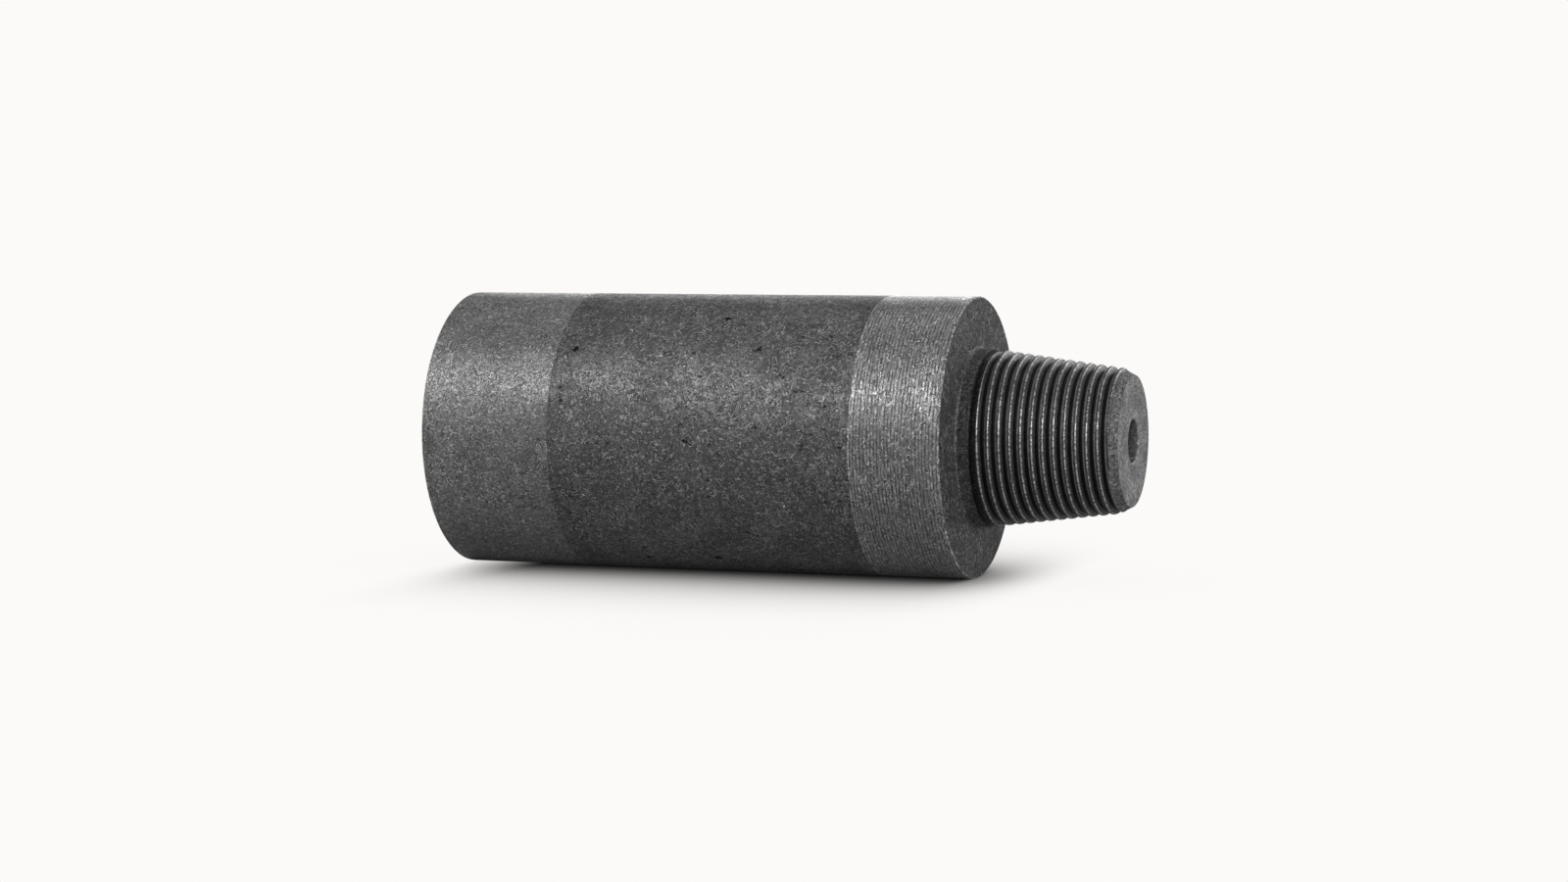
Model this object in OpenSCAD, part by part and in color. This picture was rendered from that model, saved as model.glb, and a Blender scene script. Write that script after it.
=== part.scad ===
// Graphite electrode with a tapered screw pin on one end and the matching socket in the other.
// It stands on the face of its socket end, with the axis on +Z and the pin on top.

/* [Body] */
// Diameter of the rough body
body_d = 225; // [200:1:260]
// Length of the body, from the socket face to the shoulder
body_len = 436; // [360:1:600]
// Length of the ground band at the socket end
ground_band_len = 110; // [60:1:150]
// Length of the turned band next to the shoulder
turned_band_len = 73; // [40:1:110]
// Width of the witness line that the tool left where each band ends
witness_w = 0.8; // [0.4:0.1:2]
// Depth of the witness line
witness_depth = 0.3; // [0.1:0.05:1]
// Chamfer that breaks the two rims of the body
rim_break = 1.2; // [0.5:0.1:3]

/* [Pin] */
// Length of the pin, from the shoulder to its end face
pin_len = 126; // [110:1:140]
// Diameter of the plain collar at the root of the pin
collar_d = 142; // [142:1:160]
// Length of the collar
collar_len = 11.5; // [8:0.5:20]
// Fillet between the shoulder and the collar
collar_fillet = 2.5; // [1:0.5:4]
// Chamfer on the free edge of the collar
collar_break = 0.8; // [0.4:0.1:2]
// Length of the relief groove between the collar and the thread
relief_len = 5.5; // [4:0.5:10]
// Depth of the relief groove below the thread root
relief_depth = 0.7; // [0.4:0.1:2]
// Diameter of the end face
end_face_d = 104; // [96:1:104]
// Length of the plain lead ring that closes the thread behind the end face
lead_len = 6; // [4:0.5:10]
// Drop of the lead ring below the thread crest
lead_drop = 2; // [1.5:0.1:3]
// Width of the land that the lead ring has behind its cone
lead_land = 0.4; // [0.2:0.1:1]

/* [Thread] */
// Axial pitch, three threads to the inch
thread_pitch = 8.467; // [7.5:0.001:10]
// Crest diameter where the thread leaves the relief groove
thread_d = 140.8; // [138:0.1:140.8]
// Loss of crest diameter for each unit of length
thread_taper = 0.26; // [0.2:0.005:0.28]
// Depth of the thread, measured on the radius
thread_depth = 4.3; // [3.5:0.1:4.8]
// Flat width of the thread crest
crest_land = 2.1; // [1.4:0.1:2.4]
// Flat width of the thread root
root_land = 1.4; // [0.8:0.1:1.8]

/* [Socket] */
// Play on the radius between a pin and the socket that takes it
socket_play = 0.4; // [0.2:0.1:1]
// Free depth past the end face of a pin that is screwed home
socket_end_gap = 4; // [2:0.5:10]
// Play on the radius between the lead ring of a pin and the last thread of the socket
lead_play = 0.3; // [0.2:0.1:1]
// Depth of the relief recess at the bottom of the socket past the thread crest
socket_relief_depth = 0.6; // [0.4:0.1:2]
// Chamfer at the mouth of the socket
mouth_chamfer = 3; // [1:0.5:6]

/* [Centre hole] */
// Diameter of the hole in the end face
hole_d = 34.5; // [20:0.5:40]
// Straight depth of the hole
hole_depth = 60; // [30:1:100]
// Full angle of the drill point at its bottom
drill_point_angle = 118; // [90:1:140]
// Chamfer at the mouth of the hole
hole_break = 0.8; // [0.4:0.1:3]

/* [Hidden] */

graphite_grey = [0.27, 0.27, 0.28];
round_steps = 180;
fillet_steps = 6;
thread_steps = 40;

// Run that a cutter or a core has past the face that it meets
lap = 2;

body_r = body_d / 2;
collar_r = collar_d / 2;
thread_start = collar_len + relief_len;
shoulder_z = body_len;
pin_end_z = body_len + pin_len;

// Radius of the thread crest and root at a height above the shoulder
function crest_r(z) = (thread_d - thread_taper * (z - thread_start)) / 2;
function root_r(z) = crest_r(z) - thread_depth;

relief_r = root_r(thread_start) - relief_depth;
lead_z = pin_len - lead_len;
lead_r = crest_r(lead_z) - lead_drop;
end_r = min(end_face_d / 2, lead_r - 1);

// The socket's thread ends where its crests would meet the lead ring of a pin
socket_depth = pin_len + socket_end_gap;
socket_relief_z = thread_start + 2 * (root_r(thread_start) + socket_play - lead_r - lead_play) / thread_taper;
socket_relief_r = crest_r(socket_relief_z) + socket_play + socket_relief_depth;
socket_mouth_r = collar_r + socket_play;

// One pitch of the thread as [run along the axis, height above the root]
flank_run = (thread_pitch - crest_land - root_land) / 2;
flank_slope = flank_run / thread_depth;
thread_profile = [
    [0, 0],
    [root_land, 0],
    [root_land + flank_run, thread_depth],
    [root_land + flank_run + crest_land, thread_depth],
];
profile_count = len(thread_profile);

// Points of a right-hand thread that starts at height low, one row of the profile for each step of turn
function thread_points(low, rows, play) = [
    for (row = [0 : rows], spot = thread_profile)
        let (
            angle = 360 * row / thread_steps,
            z = low + thread_pitch * row / thread_steps + spot[0],
            r = root_r(z) + spot[1] + play
        )
        [r * cos(angle), r * sin(angle), z]
];

// Number of a thread point, where the column past the last one is the first of the next turn
function spot_at(row, column) = column < profile_count
    ? row * profile_count + column
    : (row + thread_steps) * profile_count;

// Triangles over the thread, without the last column of the last turn
function thread_faces(rows) = [
    for (row = [0 : rows - 1], column = [0 : profile_count - 1])
        if (column < profile_count - 1 || row < rows - thread_steps)
            let (
                a = spot_at(row, column),
                b = spot_at(row + 1, column),
                c = spot_at(row + 1, column + 1),
                d = spot_at(row, column + 1)
            )
            each [[a, d, c], [a, c, b]]
];

// Point numbers round the open ends of the thread, each one turn and one profile long
function low_rim() = concat(
    [for (row = [0 : thread_steps]) spot_at(row, 0)],
    [for (column = [profile_count - 1 : -1 : 1]) spot_at(0, column)]
);
function high_rim(rows) = concat(
    [for (row = [rows - thread_steps : rows]) spot_at(row, profile_count - 1)],
    [for (column = [profile_count - 2 : -1 : 0]) spot_at(rows, column)]
);

// Triangles from a rim to the point on the axis that closes it
function low_cap(rim, tip) = [
    for (k = [0 : len(rim) - 1]) [tip, rim[k], rim[(k + 1) % len(rim)]]
];
function high_cap(rim, tip) = [
    for (k = [0 : len(rim) - 1]) [tip, rim[(k + 1) % len(rim)], rim[k]]
];

// Solid screw between two heights above the shoulder, grown by the play
module thread_screw(from, to, play = 0) {
    low = from - 1.5 * thread_pitch;
    turns = ceil((to - from) / thread_pitch) + 3;
    rows = turns * thread_steps;
    points = thread_points(low, rows, play);
    low_tip = len(points);
    high_tip = low_tip + 1;
    high_tip_z = low + turns * thread_pitch;
    all_points = concat(points, [[0, 0, low + thread_pitch / 2], [0, 0, high_tip_z + thread_pitch / 2]]);
    all_faces = concat(
        thread_faces(rows),
        low_cap(low_rim(), low_tip),
        high_cap(high_rim(rows), high_tip)
    );
    intersection() {
        polyhedron(all_points, all_faces);
        translate([0, 0, from])
            cylinder(h = to - from, r = body_r, $fn = round_steps);
    }
}

// Half section of the body, the collar and the core that carries the thread
function fillet_arc() = [
    for (k = [0 : fillet_steps])
        let (angle = 90 * k / fillet_steps)
        [
            collar_r + collar_fillet * (1 - sin(angle)),
            shoulder_z + collar_fillet * (1 - cos(angle))
        ]
];
function witness_line(z) = [
    [body_r, z - witness_w / 2],
    [body_r - witness_depth, z],
    [body_r, z + witness_w / 2],
];
turned_section = concat(
    [
        [0, 0],
        [body_r - rim_break, 0],
        [body_r, rim_break],
    ],
    witness_line(ground_band_len),
    witness_line(shoulder_z - turned_band_len),
    [
        [body_r, shoulder_z - rim_break],
        [body_r - rim_break, shoulder_z],
    ],
    fillet_arc(),
    [
        [collar_r, shoulder_z + collar_len - collar_break],
        [collar_r - collar_break, shoulder_z + collar_len],
        [relief_r, shoulder_z + collar_len],
        [relief_r, shoulder_z + thread_start + lap],
        [0, shoulder_z + thread_start + lap],
    ]
);

module turned_blank() {
    rotate_extrude($fn = round_steps)
        polygon(turned_section);
}

// Plain ring, left full outside, that closes the groove of the thread at the end of the pin
module lead_ring() {
    low_r = root_r(lead_z) - lap;
    back_z = lead_z - lead_land;
    rotate_extrude($fn = round_steps)
        polygon([
            [0, back_z - flank_slope * (lead_r - low_r)],
            [low_r, back_z - flank_slope * (lead_r - low_r)],
            [lead_r + lap, back_z + flank_slope * lap],
            [lead_r + lap, pin_len],
            [0, pin_len],
        ]);
}

// Cutter that trims the last turn of the thread and gives the lead ring its cone
module lead_cutter() {
    slope = (lead_r - end_r) / lead_len;
    trim = lead_drop + lap;
    rotate_extrude($fn = round_steps)
        polygon([
            [end_r - slope * lap, pin_len + lap],
            [lead_r, lead_z],
            [lead_r + trim, lead_z - flank_slope * trim],
            [collar_r, lead_z - flank_slope * trim],
            [collar_r, pin_len + lap],
        ]);
}

module pin_thread() {
    translate([0, 0, shoulder_z])
        difference() {
            union() {
                thread_screw(thread_start, pin_len - lap);
                lead_ring();
            }
            lead_cutter();
        }
}

// Blind hole in the end face, with the cone that the drill leaves
module centre_hole() {
    hole_r = hole_d / 2;
    point_len = hole_r / tan(drill_point_angle / 2);
    translate([0, 0, pin_end_z])
        rotate_extrude($fn = round_steps)
            polygon([
                [0, -hole_depth - point_len],
                [hole_r, -hole_depth],
                [hole_r, -hole_break],
                [hole_r + hole_break + lap, lap],
                [0, lap],
            ]);
}

// Plain recess at the mouth, which takes the collar of a pin
module socket_mouth() {
    rotate_extrude($fn = round_steps)
        polygon([
            [0, -lap],
            [socket_mouth_r + mouth_chamfer + lap, -lap],
            [socket_mouth_r, mouth_chamfer],
            [socket_mouth_r, thread_start],
            [0, thread_start],
        ]);
}

module socket_relief() {
    translate([0, 0, socket_relief_z])
        cylinder(h = socket_depth - socket_relief_z, r = socket_relief_r, $fn = round_steps);
}

module socket_thread() {
    thread_screw(thread_start - lap, socket_relief_z + lap, socket_play);
}

module electrode() {
    color(graphite_grey)
        difference() {
            union() {
                turned_blank();
                pin_thread();
            }
            centre_hole();
            socket_mouth();
            socket_thread();
            socket_relief();
        }
}

electrode();
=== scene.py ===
import math

import bmesh
import bpy
from mathutils import Matrix, Vector, noise


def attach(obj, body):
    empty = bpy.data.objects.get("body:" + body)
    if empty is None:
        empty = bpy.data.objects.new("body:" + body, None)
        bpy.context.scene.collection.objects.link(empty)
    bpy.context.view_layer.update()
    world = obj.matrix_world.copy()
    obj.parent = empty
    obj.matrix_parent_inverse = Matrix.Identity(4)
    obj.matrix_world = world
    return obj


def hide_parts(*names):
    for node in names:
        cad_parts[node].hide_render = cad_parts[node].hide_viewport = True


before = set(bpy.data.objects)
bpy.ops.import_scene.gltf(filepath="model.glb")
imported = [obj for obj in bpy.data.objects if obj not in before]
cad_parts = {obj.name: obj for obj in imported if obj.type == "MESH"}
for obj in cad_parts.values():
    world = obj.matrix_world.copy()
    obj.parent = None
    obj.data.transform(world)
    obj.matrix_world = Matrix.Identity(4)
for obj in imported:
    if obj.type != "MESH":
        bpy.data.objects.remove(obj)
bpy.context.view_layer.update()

# Driving sizes of the electrode in metres, as the part's source has them
MM = 0.001
BODY_R = 112.5 * MM
BODY_LEN = 436 * MM
GROUND_BAND_LEN = 110 * MM
TURNED_BAND_LEN = 73 * MM
WITNESS_HALF = 0.4 * MM
WITNESS_DEPTH = 0.3 * MM
RIM_BREAK = 1.2 * MM
PIN_LEN = 126 * MM
COLLAR_R = 71 * MM
COLLAR_LEN = 11.5 * MM
COLLAR_FILLET = 2.5 * MM
COLLAR_BREAK = 0.8 * MM
RELIEF_LEN = 5.5 * MM
RELIEF_DEPTH = 0.7 * MM
RELIEF_CORNER = 0.6 * MM
END_FACE_R = 52 * MM
LEAD_LEN = 6 * MM
LEAD_DROP = 2 * MM
LEAD_LAND = 0.4 * MM
PITCH = 8.467 * MM
CREST_R = 70.4 * MM
TAPER = 0.13
THREAD_DEPTH = 4.3 * MM
CREST_LAND = 2.1 * MM
ROOT_LAND = 1.4 * MM
HOLE_R = 17.25 * MM
HOLE_BREAK = 0.8 * MM
HOLE_DEPTH = 60 * MM
DRILL_POINT_ANGLE = 118
SOCKET_PLAY = 0.4 * MM
SOCKET_END_GAP = 4 * MM
SOCKET_LAP = 2 * MM
SOCKET_RELIEF_DEPTH = 0.6 * MM
LEAD_PLAY = 0.3 * MM
MOUTH_CHAMFER = 3 * MM

# Heights and radii that follow from them
TURNED_BAND_Z = BODY_LEN - TURNED_BAND_LEN
COLLAR_TOP_Z = BODY_LEN + COLLAR_LEN
SOCKET_THREAD_Z = COLLAR_LEN + RELIEF_LEN
THREAD_Z = BODY_LEN + SOCKET_THREAD_Z
PIN_END_Z = BODY_LEN + PIN_LEN
ROOT_R = CREST_R - THREAD_DEPTH
RELIEF_R = ROOT_R - RELIEF_DEPTH
LEAD_Z = PIN_END_Z - LEAD_LEN
LEAD_R = CREST_R - TAPER * (LEAD_Z - THREAD_Z) - LEAD_DROP
LEAD_SLOPE = (LEAD_R - END_FACE_R) / LEAD_LEN
FLANK_SLOPE = (PITCH - CREST_LAND - ROOT_LAND) / (2 * THREAD_DEPTH)
HELIX_LEAD_IN = 1.5 * PITCH
PIN_HELIX_Z = THREAD_Z - HELIX_LEAD_IN
HOLE_BOTTOM_Z = PIN_END_Z - HOLE_DEPTH
DRILL_TIP_Z = HOLE_BOTTOM_Z - HOLE_R / math.tan(math.radians(DRILL_POINT_ANGLE / 2))
MOUTH_R = COLLAR_R + SOCKET_PLAY
SOCKET_HELIX_Z = SOCKET_THREAD_Z - SOCKET_LAP - HELIX_LEAD_IN
SOCKET_RELIEF_Z = SOCKET_THREAD_Z + (ROOT_R + SOCKET_PLAY - LEAD_R - LEAD_PLAY) / TAPER
SOCKET_RELIEF_R = LEAD_R + LEAD_PLAY + THREAD_DEPTH + SOCKET_RELIEF_DEPTH
SOCKET_DEPTH = PIN_LEN + SOCKET_END_GAP

# One pitch of each thread in millimetres: run along the axis, and height above the root
PIN_PROFILE = [
    (0.0, 0.1), (0.35, 0.0), (1.05, 0.0), (1.4, 0.1),
    (2.2, 1.4), (3.0, 2.8), (3.6, 3.82), (3.9, 4.16), (4.3, 4.3),
    (5.57, 4.3), (5.95, 4.17), (6.28, 3.8), (6.9, 2.7), (7.7, 1.35),
]
SOCKET_PROFILE = [(0.0, 0.0), (1.4, 0.0), (2.64, 2.15), (3.88, 4.3), (5.98, 4.3), (7.22, 2.15)]

# Steps of a full turn, lengths of the mesh rows along the axis, and the least angle of a sharp edge
ROUND_STEPS = 320
PIN_STEPS = 128
SOCKET_STEPS = 64
FILLET_STEPS = 6
PLAIN_ROW = 9 * MM
TURNED_ROW = 0.78 * MM
SAME_POINT = 0.002 * MM
SHARP_ANGLE = 33

# Tool marks on the turned band, and crumbs broken from the two rims
COARSE_MARK_WIDTH = 2.6 * MM
COARSE_MARK_DEPTH = 0.16 * MM
FINE_MARK_WIDTH = 1.5 * MM
FINE_MARK_DEPTH = 0.07 * MM
SHOULDER_CRUMB_DEPTH = 0.55 * MM
SOCKET_CRUMB_DEPTH = 0.25 * MM

# Advance of the tool for each turn where it left lines on the turned band
TOOL_FEED = 2.8 * MM

# Where the crest corners with their painted highlight, and the middles of crest and root, lie in one pitch
# of the pin's thread
END_CORNER = 0.70
SHOULDER_CORNER = 0.37
CREST_MIDDLE = 0.56
ROOT_MIDDLE = 0.07

# The photograph shows the electrode lying. These are its ways up and towards the viewer in this frame.
ALONG = Vector((0, 0, 1))
UP = Vector((-0.38268, -0.92388, 0))
FRONT = Vector((0.92388, -0.38268, 0))
BODY_MIDDLE = Vector((0, 0, BODY_LEN / 2))

# The photograph's camera: lens and sensor in millimetres, its ways, and its place in body radii
LENS = 76.35
SENSOR_WIDTH = 36.0
CAMERA_RIGHT = (0.94358, 0.0, -0.3312)
CAMERA_UP = (-0.02239, 0.9977, -0.0638)
CAMERA_BACK = (0.3304, 0.0676, 0.9414)
CAMERA_PLACE = (8.4216, 1.569, 22.641)

# The paper that it lies on: its colour, the light it bounces back to the electrode, and its faint glow
PAPER = (0.9734, 0.9560, 0.9387)
FLOOR_R = 2.0
FLOOR_BOUNCE = 0.36
FLOOR_GLOW = 0.035

# The shadow on the paper, and the stretches past the body's two ends where most of it fades
SHADOW_REACH = 0.7
SHADOW_START = 0.92
SHADOW_POWER = 1.3
SHADOW_FADE = 0.95
PIN_END_FADE = (BODY_LEN - 0.013, BODY_LEN + 0.072)
SOCKET_END_FADE = (-0.02, 0.065)

ROOM_LIGHT = 0.16
SOFTBOX_DISTANCE = 1.7


def photo_way(along, up, front):
    return along * ALONG + up * UP + front * FRONT


def take_in(bm, part):
    """Adds a finished part to the whole."""
    carrier = bpy.data.meshes.new("carrier")
    part.to_mesh(carrier)
    part.free()
    bm.from_mesh(carrier)
    bpy.data.meshes.remove(carrier)


def turn_section(bm, spots, row=None):
    """Turns an open run of (radius, height) spots round the axis, with rows cut in its long stretches."""
    part = bmesh.new()
    line = [part.verts.new((r, 0, z)) for r, z in spots]
    runs = [part.edges.new(pair) for pair in zip(line, line[1:])]
    for run in runs:
        cuts = int(run.calc_length() / row) if row else 0
        if cuts:
            bmesh.ops.subdivide_edges(part, edges=[run], cuts=cuts)
    bmesh.ops.spin(
        part, geom=part.verts[:] + part.edges[:], cent=(0, 0, 0), axis=(0, 0, 1), dvec=(0, 0, 0),
        angle=2 * math.pi, steps=ROUND_STEPS, use_merge=True,
    )
    take_in(bm, part)


def lead_limits(z):
    """Least and most radius that the thread keeps near the plain lead ring at the pin's end."""
    if z >= LEAD_Z:
        cone = LEAD_R - LEAD_SLOPE * (z - LEAD_Z)
        return cone, cone
    return LEAD_R - (LEAD_Z - LEAD_LAND - z) / FLANK_SLOPE, LEAD_R + (LEAD_Z - z) / FLANK_SLOPE


def cut_level(part, z, **cleared):
    bmesh.ops.bisect_plane(
        part, geom=part.verts[:] + part.edges[:] + part.faces[:], dist=SAME_POINT,
        plane_co=(0, 0, z), plane_no=(0, 0, 1), **cleared,
    )


def wind_thread(bm, profile, helix_z, low_z, high_z, steps, play=0.0, led=False):
    """Winds a tapered thread between two heights: one turn is spun, and copies of it are stacked on it."""
    part = bmesh.new()
    spots = [*profile, (PITCH / MM, profile[0][1])]
    line = [part.verts.new((ROOT_R + play + rise * MM, 0, helix_z + run * MM)) for run, rise in spots]
    edges = [part.edges.new(pair) for pair in zip(line, line[1:])]
    bmesh.ops.spin(
        part, geom=line + edges, cent=(0, 0, 0), axis=(0, 0, 1), dvec=(0, 0, PITCH / steps),
        angle=2 * math.pi, steps=steps,
    )
    turn = part.verts[:] + part.edges[:] + part.faces[:]
    for level in range(1, math.ceil((high_z - helix_z) / PITCH) + 1):
        copy = bmesh.ops.duplicate(part, geom=turn)["geom"]
        lifted = [g for g in copy if isinstance(g, bmesh.types.BMVert)]
        bmesh.ops.translate(part, verts=lifted, vec=(0, 0, level * PITCH))
    bmesh.ops.remove_doubles(part, verts=part.verts[:], dist=SAME_POINT)
    for v in part.verts:
        r = v.co.xy.length
        v.co.xy *= (r - TAPER * (v.co.z - low_z)) / r
    cut_level(part, low_z, clear_inner=True)
    cut_level(part, high_z, clear_outer=True)
    if led:
        cut_level(part, LEAD_Z - LEAD_LAND / 2)
        cut_level(part, LEAD_Z)
        for v in part.verts:
            r = v.co.xy.length
            least, most = lead_limits(v.co.z)
            v.co.xy *= min(max(r, least), most) / r
    take_in(bm, part)


def face_off(bm, z):
    """Fills the flat ring between the two open rims at a height."""
    rims = [e for e in bm.edges if e.is_boundary and all(abs(v.co.z - z) < SAME_POINT for v in e.verts)]
    bmesh.ops.triangle_fill(bm, edges=rims, use_beauty=True, use_dissolve=False, normal=(0, 0, 1))


def witness_line(z):
    return [(BODY_R, z - WITNESS_HALF), (BODY_R - WITNESS_DEPTH, z), (BODY_R, z + WITNESS_HALF)]


def collar_fillet():
    arc = [math.radians(90 * k / FILLET_STEPS) for k in range(FILLET_STEPS + 1)]
    return [
        (COLLAR_R + COLLAR_FILLET * (1 - math.sin(a)), BODY_LEN + COLLAR_FILLET * (1 - math.cos(a)))
        for a in arc
    ]


def score_surface(bm):
    """Presses the broken tool marks into the turned band, and crumbles the two rims of the body."""
    socket_rim_z = 1.01 * RIM_BREAK
    shoulder_rim_z = BODY_LEN - socket_rim_z
    for v in bm.verts:
        r, z = v.co.xy.length, v.co.z
        if r < BODY_R - 1.1 * RIM_BREAK:
            continue
        way = Vector((v.co.x / r, v.co.y / r, 0))
        sink = 0.0
        if TURNED_BAND_Z + WITNESS_HALF < z < shoulder_rim_z:
            sway = 1.1 * noise.noise(9 * way + Vector((0, 0, 60 * z)))
            coarse = noise.noise(5 * way + Vector((3, 7, z / COARSE_MARK_WIDTH + sway)))
            fine = noise.noise(16 * way + Vector((5, 1, z / FINE_MARK_WIDTH + 2 * sway)))
            sink = COARSE_MARK_DEPTH * abs(coarse) + FINE_MARK_DEPTH * abs(fine)
        elif z >= shoulder_rim_z:
            sink = SHOULDER_CRUMB_DEPTH * max(0.0, noise.noise(46 * way) + 0.5 * noise.noise(90 * way))
        elif z <= socket_rim_z:
            sink = SOCKET_CRUMB_DEPTH * max(0.0, noise.noise(40 * way))
        v.co.xy *= (r - sink) / r


def electrode_form():
    bm = bmesh.new()
    body = [
        (MOUTH_R + MOUTH_CHAMFER, 0), (BODY_R - RIM_BREAK, 0), (BODY_R, RIM_BREAK),
        *witness_line(GROUND_BAND_LEN), *witness_line(TURNED_BAND_Z),
    ]
    turn_section(bm, body, row=PLAIN_ROW)
    turned_band = [(BODY_R, TURNED_BAND_Z + WITNESS_HALF), (BODY_R, BODY_LEN - RIM_BREAK)]
    turn_section(bm, turned_band, row=TURNED_ROW)
    shoulder = [
        (BODY_R, BODY_LEN - RIM_BREAK), (BODY_R - RIM_BREAK, BODY_LEN), *collar_fillet(),
        (COLLAR_R, COLLAR_TOP_Z - COLLAR_BREAK), (COLLAR_R - COLLAR_BREAK, COLLAR_TOP_Z),
        (RELIEF_R + RELIEF_CORNER, COLLAR_TOP_Z), (RELIEF_R, COLLAR_TOP_Z + RELIEF_CORNER),
        (RELIEF_R, THREAD_Z),
    ]
    turn_section(bm, shoulder, row=PLAIN_ROW)
    hole = [
        (HOLE_R + HOLE_BREAK, PIN_END_Z), (HOLE_R, PIN_END_Z - HOLE_BREAK),
        (HOLE_R, HOLE_BOTTOM_Z), (0, DRILL_TIP_Z),
    ]
    turn_section(bm, hole)
    mouth = [(MOUTH_R + MOUTH_CHAMFER, 0), (MOUTH_R, MOUTH_CHAMFER), (MOUTH_R, SOCKET_THREAD_Z)]
    turn_section(bm, mouth)
    socket_bottom = [(SOCKET_RELIEF_R, SOCKET_RELIEF_Z), (SOCKET_RELIEF_R, SOCKET_DEPTH), (0, SOCKET_DEPTH)]
    turn_section(bm, socket_bottom)
    wind_thread(bm, PIN_PROFILE, PIN_HELIX_Z, THREAD_Z, PIN_END_Z, PIN_STEPS, led=True)
    wind_thread(
        bm, SOCKET_PROFILE, SOCKET_HELIX_Z, SOCKET_THREAD_Z, SOCKET_RELIEF_Z, SOCKET_STEPS,
        play=SOCKET_PLAY,
    )
    bmesh.ops.remove_doubles(bm, verts=bm.verts[:], dist=SAME_POINT)
    for z in (THREAD_Z, PIN_END_Z, SOCKET_THREAD_Z, SOCKET_RELIEF_Z):
        face_off(bm, z)
    score_surface(bm)
    bmesh.ops.recalc_face_normals(bm, faces=bm.faces[:])
    return bm


def finish_at(spot):
    """Names the finish that the graphite has at a spot of its surface."""
    r, z = spot.xy.length, spot.z
    near = 0.05 * MM
    if r > BODY_R - 1.05 * RIM_BREAK:
        if z < RIM_BREAK or z > BODY_LEN - RIM_BREAK:
            return "worn_rim_painted_highlight"
        if abs(z - GROUND_BAND_LEN) < WITNESS_HALF:
            return "ground_edge"
        if abs(z - TURNED_BAND_Z) < WITNESS_HALF:
            return "turned_edge"
        if z < GROUND_BAND_LEN:
            return "ground_band"
        return "rough_skin" if z < TURNED_BAND_Z else "turned_band"
    if z < near and r > MOUTH_R + MOUTH_CHAMFER - near:
        return "faced"
    if z < BODY_LEN - near:
        return "socket"
    if z < BODY_LEN + near:
        return "faced"
    if z < BODY_LEN + COLLAR_FILLET and r < COLLAR_R + 0.15 * COLLAR_FILLET:
        return "collar_edge"
    if z < THREAD_Z - near:
        return "collar" if z < COLLAR_TOP_Z - COLLAR_BREAK else "relief"
    if r < HOLE_R + HOLE_BREAK:
        return "hole_edge" if z > PIN_END_Z - HOLE_BREAK else "bored"
    if z > PIN_END_Z - near:
        return "end_face"
    if r > lead_limits(z)[1] - 3 * near:
        return "lead_ring"
    return "cut_thread"


def lay(tree, kind, inputs=None, **settings):
    """Adds a shader node, with its settings and with numbers or links on its inputs."""
    made = tree.nodes.new("ShaderNode" + kind)
    for name, value in settings.items():
        setattr(made, name, value)
    for name, value in (inputs or {}).items():
        if isinstance(value, bpy.types.NodeSocket):
            tree.links.new(value, made.inputs[name])
        else:
            made.inputs[name].default_value = value
    return made


def reckon(tree, operation, *values):
    return lay(tree, "Math", dict(enumerate(values)), operation=operation).outputs[0]


def times(tree, *shades):
    """Multiplies shades with each other."""
    whole = shades[0]
    for shade in shades[1:]:
        whole = reckon(tree, "MULTIPLY", whole, shade)
    return whole


def where(tree, mask, gain, base=1.0):
    """A base value, with a gain added where a mask is one."""
    return reckon(tree, "MULTIPLY_ADD", mask, gain, base)


def spread(tree, value, low, high, to_low=0.0, to_high=1.0):
    """Maps a stretch of a value smoothly to another one, and holds it at the ends."""
    inputs = {"Value": value, 1: low, 2: high, 3: to_low, 4: to_high}
    return lay(tree, "MapRange", inputs, interpolation_type="SMOOTHSTEP").outputs[0]


def grain(tree, place, size, detail=1.0, sway=0.0):
    """Cloudy grain with spots of about the given size in millimetres."""
    inputs = {
        "Vector": place, "Scale": 1 / (size * MM),
        "Detail": detail, "Roughness": 0.55, "Distortion": sway,
    }
    return lay(tree, "TexNoise", inputs).outputs["Fac"]


def near_to(tree, value, middle, inner, outer):
    """One where a value is close to a middle, falling to nothing further off."""
    off = reckon(tree, "ABSOLUTE", reckon(tree, "SUBTRACT", value, middle))
    return spread(tree, off, inner, outer, 1.0, 0.0)


def pressed(tree, place, round_share):
    """Squeezes a place, so that a grain on it runs in streaks round the axis."""
    return lay(tree, "Mapping", {"Vector": place, "Scale": (round_share, round_share, 1.0)}).outputs[0]


def height_of(tree, place):
    return lay(tree, "SeparateXYZ", {0: place}).outputs[2]


def axis_distance(tree, place):
    flat = lay(tree, "VectorMath", {0: place, 1: (1.0, 1.0, 0.0)}, operation="MULTIPLY").outputs[0]
    return lay(tree, "VectorMath", {0: flat}, operation="LENGTH").outputs["Value"]


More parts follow.
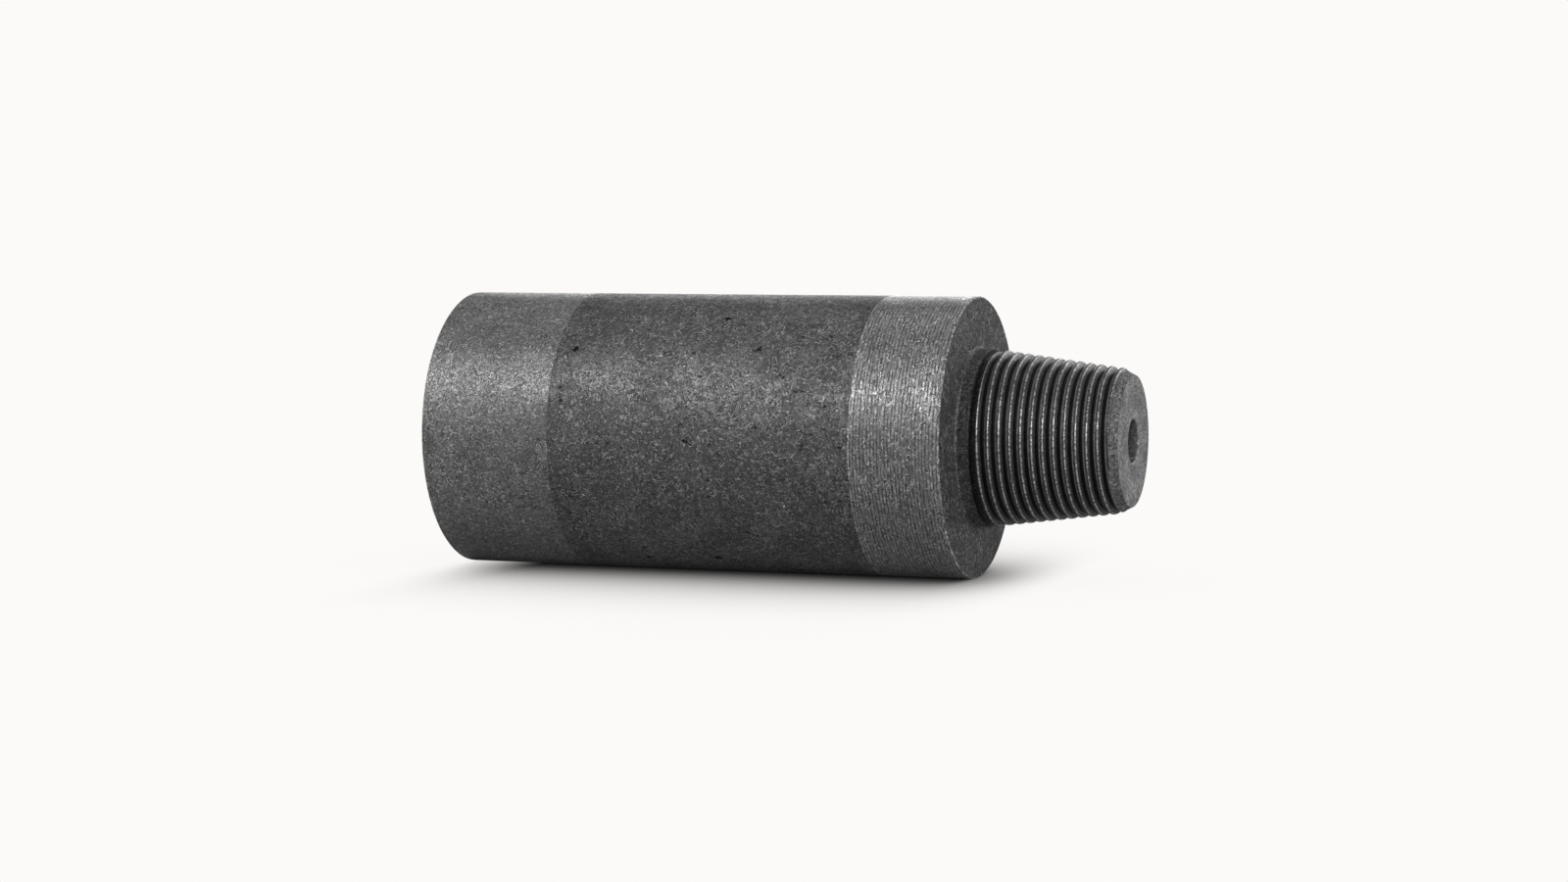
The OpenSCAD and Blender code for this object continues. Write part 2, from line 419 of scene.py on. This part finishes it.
def coke_grain(tree, place, size, needle_and_highlight_gain, gap_shadow_loss, sway=0.5):
    """Short curved light needle grains of coke, lightened further as a painted highlight, and a painted
    shadow in the dark gap beside each: their shade and their height.
    """
    coke = grain(tree, place, size, 0.3, sway)
    broken = grain(tree, place, 1.3 * size)
    lively = spread(tree, grain(tree, place, 5 * size), 0.36, 0.56, 0.65, 1.15)
    # Each coke needle is lightened as a painted highlight, and the dark gap beside it is painted shadow, as
    # on a lit relief
    needles_and_highlights = times(tree, near_to(tree, coke, 0.46, 0.02, 0.09), spread(tree, broken, 0.38, 0.5), lively)
    gap_shadows = times(tree, near_to(tree, coke, 0.58, 0.02, 0.085), spread(tree, broken, 0.34, 0.46), lively)
    dust = spread(tree, grain(tree, place, 0.5 * size, 0.0), 0.3, 0.7, 0.7, 1.3)
    shade = times(tree, where(tree, needles_and_highlights, needle_and_highlight_gain), where(tree, gap_shadows, -gap_shadow_loss), dust)
    return shade, reckon(tree, "SUBTRACT", needles_and_highlights, gap_shadows)


def clouds(tree, place, size, share):
    return spread(tree, grain(tree, place, size, 3.0), 0.3, 0.7, 1 - share, 1 + share)


def ragged_spots(tree, place, spacing, width, chance):
    """Ragged spots, some way apart, in a share of the places where one could be: the mask for each open
    hole painted dark as shade, and for each painted glint.
    """
    drawn_out = lay(tree, "Mapping", {"Vector": place, "Scale": (1.0, 1.0, 0.7)}).outputs[0]
    cells = lay(tree, "TexVoronoi", {"Vector": drawn_out, "Scale": 1 / (spacing * MM)})
    tint = lay(tree, "SeparateColor", {0: cells.outputs["Color"]}).outputs[0]
    chosen = spread(tree, tint, 0.3 * chance, chance, 1.0, 0.0)
    share = width / spacing
    ragged = reckon(tree, "MULTIPLY_ADD", grain(tree, place, 2.2), 0.9 * share, cells.outputs["Distance"])
    return times(tree, spread(tree, ragged, 0.62 * share, 0.86 * share, 1.0, 0.0), chosen)


def start_finish(name):
    material = bpy.data.materials.new("graphite_" + name)
    material.use_nodes = True
    tree = material.node_tree
    tree.nodes.clear()
    return material, tree, lay(tree, "TexCoord").outputs["Object"]


def end_finish(tree, shade, height, tone, bump, roughness, shine=1.9, gloss=0.5, warmth=0.0):
    """Joins a finish to its shader. Lighter spots are worn a little smoother and brighter."""
    tint = (tone * (1 + warmth), tone, tone * (1 - warmth))
    colour = lay(tree, "VectorMath", {0: tint, "Scale": shade}, operation="SCALE")
    dull = spread(tree, shade, 0.5, 1.8, roughness + 0.07, roughness - 0.07)
    relief = lay(tree, "Bump", {"Strength": 1.0, "Distance": bump * MM, "Height": height})
    shader = lay(tree, "BsdfPrincipled", {
        "Base Color": colour.outputs[0], "Roughness": dull, "Normal": relief.outputs[0], "IOR": shine,
        "Specular IOR Level": times(tree, spread(tree, shade, 0.4, 1.8, 0.78, 1.28), gloss),
    })
    lay(tree, "OutputMaterial", {"Surface": shader.outputs[0]})


def rough_skin():
    """Skin as it left the furnace, each open pore painted dark as shade over a dent, a painted glint here
    and there, and darkest beside the ground band.
    """
    material, tree, place = start_finish("rough_skin")
    shade, height = coke_grain(tree, place, size=2.5, needle_and_highlight_gain=3.6, gap_shadow_loss=0.88)
    # Each open pore is painted nearly black as shade, over a dent in the bump
    large_shade_holes = ragged_spots(tree, place, spacing=17, width=7.5, chance=0.6)
    small_shade_holes = ragged_spots(tree, place, spacing=8, width=3.6, chance=0.7)
    painted_shade_holes = reckon(tree, "MAXIMUM", large_shade_holes, times(tree, small_shade_holes, 0.75))
    # Painted glints: small bright spots standing in for the sparkle of the coke
    painted_glints = ragged_spots(tree, place, spacing=7, width=2.2, chance=0.3)
    # Darker and less glossy towards the ground band
    dimmer_near_ground_band = spread(tree, height_of(tree, place), GROUND_BAND_LEN, GROUND_BAND_LEN + 40 * MM, 0.86, 1.0)
    shade = times(
        tree, shade, clouds(tree, place, size=34, share=0.3), clouds(tree, place, size=7, share=0.3),
        dimmer_near_ground_band, where(tree, painted_shade_holes, -0.92), where(tree, painted_glints, 3.0),
    )
    height = where(tree, painted_shade_holes, -3.0, height)
    gloss = times(tree, dimmer_near_ground_band, where(tree, painted_shade_holes, -0.46, 0.5))
    end_finish(tree, shade, height, tone=0.043, bump=0.2, roughness=0.54, shine=2.0, gloss=gloss)
    return material


def ground_band():
    material, tree, place = start_finish("ground_band")
    shade, height = coke_grain(tree, place, size=2.4, needle_and_highlight_gain=1.7, gap_shadow_loss=0.65)
    # Each pore is painted dark as shade, over a dent in the bump
    painted_shade_holes = ragged_spots(tree, place, spacing=19, width=4.5, chance=0.5)
    # Painted glints: small bright spots standing in for the sparkle of the coke
    painted_glints = ragged_spots(tree, place, spacing=9, width=2.0, chance=0.2)
    shade = times(
        tree, shade, clouds(tree, place, size=34, share=0.2), clouds(tree, place, size=7, share=0.18),
        where(tree, painted_shade_holes, -0.7), where(tree, painted_glints, 1.5),
    )
    height = where(tree, painted_shade_holes, -2.0, height)
    end_finish(tree, shade, height, tone=0.106, bump=0.12, roughness=0.45, shine=1.92)
    return material


def turned_band():
    """Broken ridge lines that the tool left round the band, over the grain, with painted shade in each
    furrow and a painted highlight on each ridge line; the first cut is lighter with a painted edge
    highlight, and the band gets lighter towards the rim.
    """
    material, tree, place = start_finish("turned_band")
    shade, height = coke_grain(tree, pressed(tree, place, 0.7), size=2.3, needle_and_highlight_gain=2.8, gap_shadow_loss=0.85)
    z = height_of(tree, place)
    # The first cut is lightened as a painted edge highlight beside the witness line; the band also gets
    # lighter towards the rim
    first_cut_highlight = spread(tree, z, TURNED_BAND_Z, TURNED_BAND_Z + TOOL_FEED, 1.6, 1.0)
    lighter_toward_rim = spread(tree, z, BODY_LEN - 16 * MM, BODY_LEN - 3 * MM, 1.0, 1.25)
    feed = lay(tree, "TexWave", {
        "Vector": pressed(tree, place, 0.25), "Scale": math.tau / (20 * TOOL_FEED),
        "Distortion": 4.0, "Detail": 2.0, "Detail Scale": 1.6, "Detail Roughness": 0.6,
    }, bands_direction="Z").outputs["Fac"]
    kept = spread(tree, grain(tree, pressed(tree, place, 0.35), 3.2), 0.38, 0.56, 0.1, 1.0)
    # Each furrow is painted darker as shade and each ridge line lighter as a painted highlight, over their
    # bump
    furrows_and_shade = times(tree, spread(tree, feed, 0.0, 0.32, 1.0, 0.0), kept)
    ridges_and_highlight = times(tree, spread(tree, feed, 0.6, 0.95), kept)
    shade = times(
        tree, shade, where(tree, furrows_and_shade, -0.75), where(tree, ridges_and_highlight, 0.6),
        clouds(tree, place, size=20, share=0.15), first_cut_highlight, lighter_toward_rim,
    )
    height = reckon(tree, "ADD", height, reckon(tree, "SUBTRACT", ridges_and_highlight, furrows_and_shade))
    gloss = where(tree, furrows_and_shade, -0.25, 0.5)
    end_finish(
        tree, shade, height, tone=0.09, bump=0.14, roughness=0.4, shine=2.7, gloss=gloss, warmth=0.012,
    )
    return material


def painted_edge_highlight(name, tone):
    """Edge where the graphite has broken away in crumbs, lightened as a painted edge highlight."""
    material, tree, place = start_finish(name)
    shade, height = coke_grain(tree, place, size=3.0, needle_and_highlight_gain=1.2, gap_shadow_loss=0.7)
    shade = times(tree, shade, clouds(tree, place, size=5, share=0.6))
    end_finish(tree, shade, height, tone, bump=0.15, roughness=0.45)
    return material


def faced(name, tone, ring_share, needle_and_highlight_gain, gap_shadow_loss):
    """Flat face with the faint rings of a facing cut."""
    material, tree, place = start_finish(name)
    shade, height = coke_grain(tree, place, 3.4, needle_and_highlight_gain, gap_shadow_loss)
    out = axis_distance(tree, place)
    rings = grain(tree, lay(tree, "CombineXYZ", {0: out}).outputs[0], 1.8, 2.0)
    shade = times(
        tree, shade, clouds(tree, place, size=18, share=0.3),
        spread(tree, rings, 0.3, 0.7, 1 - ring_share, 1 + ring_share),
    )
    end_finish(tree, shade, height, tone, bump=0.12, roughness=0.5)
    return material


def plain_cut(name, tone, gloss=0.5):
    material, tree, place = start_finish(name)
    shade, height = coke_grain(tree, place, size=2.8, needle_and_highlight_gain=1.5, gap_shadow_loss=0.7)
    shade = times(tree, shade, clouds(tree, place, size=12, share=0.2))
    end_finish(tree, shade, height, tone, bump=0.08, roughness=0.5, gloss=gloss)
    return material


def bored():
    """Wall of the centre hole, with painted shade that gets darker with depth."""
    material, tree, place = start_finish("bored")
    shade, height = coke_grain(tree, place, size=2.8, needle_and_highlight_gain=1.2, gap_shadow_loss=0.6)
    # Painted shade: darker the deeper into the hole
    light = spread(tree, height_of(tree, place), PIN_END_Z - 14 * MM, PIN_END_Z, 0.12, 1.3)
    gloss = times(tree, light, 0.4)
    end_finish(tree, times(tree, shade, light), height, tone=0.19, bump=0.08, roughness=0.5, gloss=gloss)
    return material


def cut_thread():
    """Dark thread with a painted highlight in a dotted line along its crest corners, and painted shade in
    its roots.
    """
    material, tree, place = start_finish("cut_thread")
    shade, height = coke_grain(tree, place, size=3.0, needle_and_highlight_gain=0.6, gap_shadow_loss=0.4)
    x, y, z = lay(tree, "SeparateXYZ", {0: place}).outputs
    turns = reckon(tree, "MULTIPLY", reckon(tree, "ARCTAN2", y, x), 1 / math.tau)
    climb = reckon(tree, "MULTIPLY_ADD", z, 1 / PITCH, -PIN_HELIX_Z / PITCH)
    phase = reckon(tree, "FRACT", reckon(tree, "SUBTRACT", climb, turns))
    dots = spread(tree, grain(tree, place, 2.2), 0.43, 0.55, 0.1, 1.0)
    # The crest corners are lightened as a painted highlight in a dotted line
    end_side = times(tree, near_to(tree, phase, END_CORNER, 0.03, 0.075), dots)
    shoulder_side = near_to(tree, phase, SHOULDER_CORNER, 0.05, 0.1)
    painted_corner_highlight = where(tree, shoulder_side, 0.48, end_side)
    crest = near_to(tree, phase, CREST_MIDDLE, 0.06, 0.11)
    # The thread's roots are painted dark as shade
    from_root = reckon(tree, "FRACT", reckon(tree, "ADD", phase, 0.5 - ROOT_MIDDLE))
    painted_root_shade = where(tree, near_to(tree, from_root, 0.5, 0.07, 0.22), -0.82)
    shade = times(
        tree, shade, clouds(tree, place, size=12, share=0.15), where(tree, painted_corner_highlight, 10.0), painted_root_shade,
    )
    gloss = where(tree, end_side, 1.2, times(tree, painted_root_shade, where(tree, crest, -0.3, 0.4)))
    end_finish(tree, shade, height, tone=0.043, bump=0.07, roughness=0.42, shine=2.2, gloss=gloss)
    return material


FINISHES = {
    "rough_skin": rough_skin(),
    "ground_band": ground_band(),
    "turned_band": turned_band(),
    # Rims and edges are lightened as a painted edge highlight
    "worn_rim_painted_highlight": painted_edge_highlight("worn_rim_painted_highlight", tone=0.34),
    "ground_edge": painted_edge_highlight("ground_edge", tone=0.13),
    "turned_edge": painted_edge_highlight("turned_edge", tone=0.36),
    "faced": faced("faced", tone=0.074, ring_share=0.12, needle_and_highlight_gain=3.0, gap_shadow_loss=0.85),
    "collar_edge": painted_edge_highlight("collar_edge", tone=0.17),
    "collar": plain_cut("collar", tone=0.072, gloss=0.4),
    # The relief groove is painted darker than the collar, as shade in the recess
    "relief": plain_cut("relief", tone=0.028, gloss=0.2),
    "cut_thread": cut_thread(),
    "lead_ring": plain_cut("lead_ring", tone=0.12),
    "end_face": faced("end_face", tone=0.34, ring_share=0.05, needle_and_highlight_gain=0.8, gap_shadow_loss=0.4),
    "hole_edge": plain_cut("hole_edge", tone=0.3),
    "bored": bored(),
    "socket": plain_cut("socket", tone=0.06),
}


def build_electrode():
    mesh = bpy.data.meshes.new("electrode_turned")
    names = list(FINISHES)
    for finish in FINISHES.values():
        mesh.materials.append(finish)
    bm = electrode_form()
    for face in bm.faces:
        face.smooth = True
        face.material_index = names.index(finish_at(face.calc_center_median()))
    bm.to_mesh(mesh)
    bm.free()
    mesh.set_sharp_from_angle(angle=math.radians(SHARP_ANGLE))
    piece = bpy.data.objects.new("electrode_turned", mesh)
    bpy.context.collection.objects.link(piece)
    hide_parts("electrode")
    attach(piece, "root")


def pale_floor():
    """White paper with a painted shadow to the camera, and a dim sheet that bounces light and glows faintly
    to the electrode itself.
    """
    material = bpy.data.materials.new("pale_floor")
    material.use_nodes = True
    material.cycles.emission_sampling = "NONE"
    tree = material.node_tree
    tree.nodes.clear()
    # The shadow is painted: the paper's white scaled by ambient occlusion, not cast by the lamps, and faded
    # past the body's ends
    open_sky = lay(tree, "AmbientOcclusion", {"Distance": SHADOW_REACH}, samples=16).outputs["AO"]
    shadow = reckon(tree, "POWER", reckon(tree, "MULTIPLY", open_sky, 1 / SHADOW_START), SHADOW_POWER)
    shadow = reckon(tree, "MINIMUM", shadow, 1.0)
    z = height_of(tree, lay(tree, "TexCoord").outputs["Object"])
    past_pin_end = spread(tree, z, *PIN_END_FADE, 0.0, SHADOW_FADE)
    past_socket_end = spread(tree, z, *SOCKET_END_FADE, SHADOW_FADE, 0.0)
    lit = reckon(tree, "MAXIMUM", past_pin_end, past_socket_end)
    shadow = reckon(tree, "MULTIPLY_ADD", reckon(tree, "SUBTRACT", 1.0, shadow), lit, shadow)
    paper = lay(tree, "Emission", {"Color": (*PAPER, 1.0), "Strength": shadow}).outputs[0]
    bounce = lay(tree, "BsdfDiffuse", {"Color": (FLOOR_BOUNCE, FLOOR_BOUNCE, FLOOR_BOUNCE, 1.0)}).outputs[0]
    glow = lay(tree, "Emission", {"Strength": FLOOR_GLOW}).outputs[0]
    fill = lay(tree, "AddShader", {0: bounce, 1: glow}).outputs[0]
    seen = lay(tree, "LightPath").outputs["Is Camera Ray"]
    front = lay(tree, "MixShader", {0: seen, 1: fill, 2: paper}).outputs[0]
    behind = lay(tree, "NewGeometry").outputs["Backfacing"]
    clear = lay(tree, "BsdfTransparent").outputs[0]
    both = lay(tree, "MixShader", {0: behind, 1: front, 2: clear}).outputs[0]
    lay(tree, "OutputMaterial", {"Surface": both})
    return material


def lay_floor():
    """Paper under the lying electrode, clear from its back."""
    bm = bmesh.new()
    bmesh.ops.create_circle(bm, cap_ends=True, radius=FLOOR_R, segments=96)
    lie = Matrix((FRONT, ALONG, UP)).transposed().to_4x4()
    bmesh.ops.transform(bm, matrix=Matrix.Translation(BODY_MIDDLE - BODY_R * UP) @ lie, verts=bm.verts[:])
    mesh = bpy.data.meshes.new("floor")
    bm.to_mesh(mesh)
    bm.free()
    floor = bpy.data.objects.new("floor", mesh)
    bpy.context.collection.objects.link(floor)
    mesh.materials.append(pale_floor())


def hang_softbox(name, way, width, height, power):
    light = bpy.data.lights.new(name, "AREA")
    light.shape = "RECTANGLE"
    light.size, light.size_y, light.energy = width, height, power
    lamp = bpy.data.objects.new(name, light)
    bpy.context.collection.objects.link(lamp)
    back = photo_way(*way).normalized()
    right = photo_way(1, 0, 0) - back * back.dot(ALONG)
    right.normalize()
    lamp.rotation_mode = "QUATERNION"
    lamp.rotation_quaternion = Matrix((right, back.cross(right), back)).transposed().to_quaternion()
    lamp.location = BODY_MIDDLE + SOFTBOX_DISTANCE * back
    lamp.visible_camera = False


def light_room():
    """Even studio light, with the paper's own white where the camera sees it."""
    world = bpy.data.worlds.new("studio")
    bpy.context.scene.world = world
    world.use_nodes = True
    tree = world.node_tree
    tree.nodes.clear()
    seen = lay(tree, "LightPath").outputs["Is Camera Ray"]
    room = lay(tree, "Background", {"Color": (1, 1, 1, 1), "Strength": ROOM_LIGHT}).outputs[0]
    paper = lay(tree, "Background", {"Color": (*PAPER, 1.0), "Strength": 1.0}).outputs[0]
    mixed = lay(tree, "MixShader", {0: seen, 1: room, 2: paper}).outputs[0]
    lay(tree, "OutputWorld", {"Surface": mixed})


def set_camera():
    camera = bpy.data.cameras.new("camera")
    camera.sensor_fit, camera.sensor_width, camera.lens = "HORIZONTAL", SENSOR_WIDTH, LENS
    camera.clip_start, camera.clip_end = 0.1, 50
    eye = bpy.data.objects.new("camera", camera)
    bpy.context.collection.objects.link(eye)
    ways = [photo_way(*way).normalized() for way in (CAMERA_RIGHT, CAMERA_UP, CAMERA_BACK)]
    eye.rotation_mode = "QUATERNION"
    eye.rotation_quaternion = Matrix(ways).transposed().to_quaternion()
    eye.location = BODY_MIDDLE + BODY_R * photo_way(*CAMERA_PLACE)
    bpy.context.scene.camera = eye


set_camera()
light_room()
hang_softbox("key_high", (-0.6, 0.71, 0.71), width=0.6, height=0.6, power=8.6)
hang_softbox("key_low", (-0.25, 0.54, 0.84), width=0.6, height=0.4, power=5.8)
hang_softbox("overhead", (0.0, 0.97, -0.26), width=1.0, height=0.6, power=2.5)
hang_softbox("rim", (-0.3, 0.26, -0.92), width=0.8, height=0.6, power=7.4)
hang_softbox("rear_side", (0.45, 0.35, -0.83), width=0.6, height=0.6, power=3.0)
hang_softbox("side", (1.0, 0.3, 0.5), width=0.6, height=0.6, power=5.5)
lay_floor()
build_electrode()
bpy.context.scene.view_settings.view_transform = "Standard"
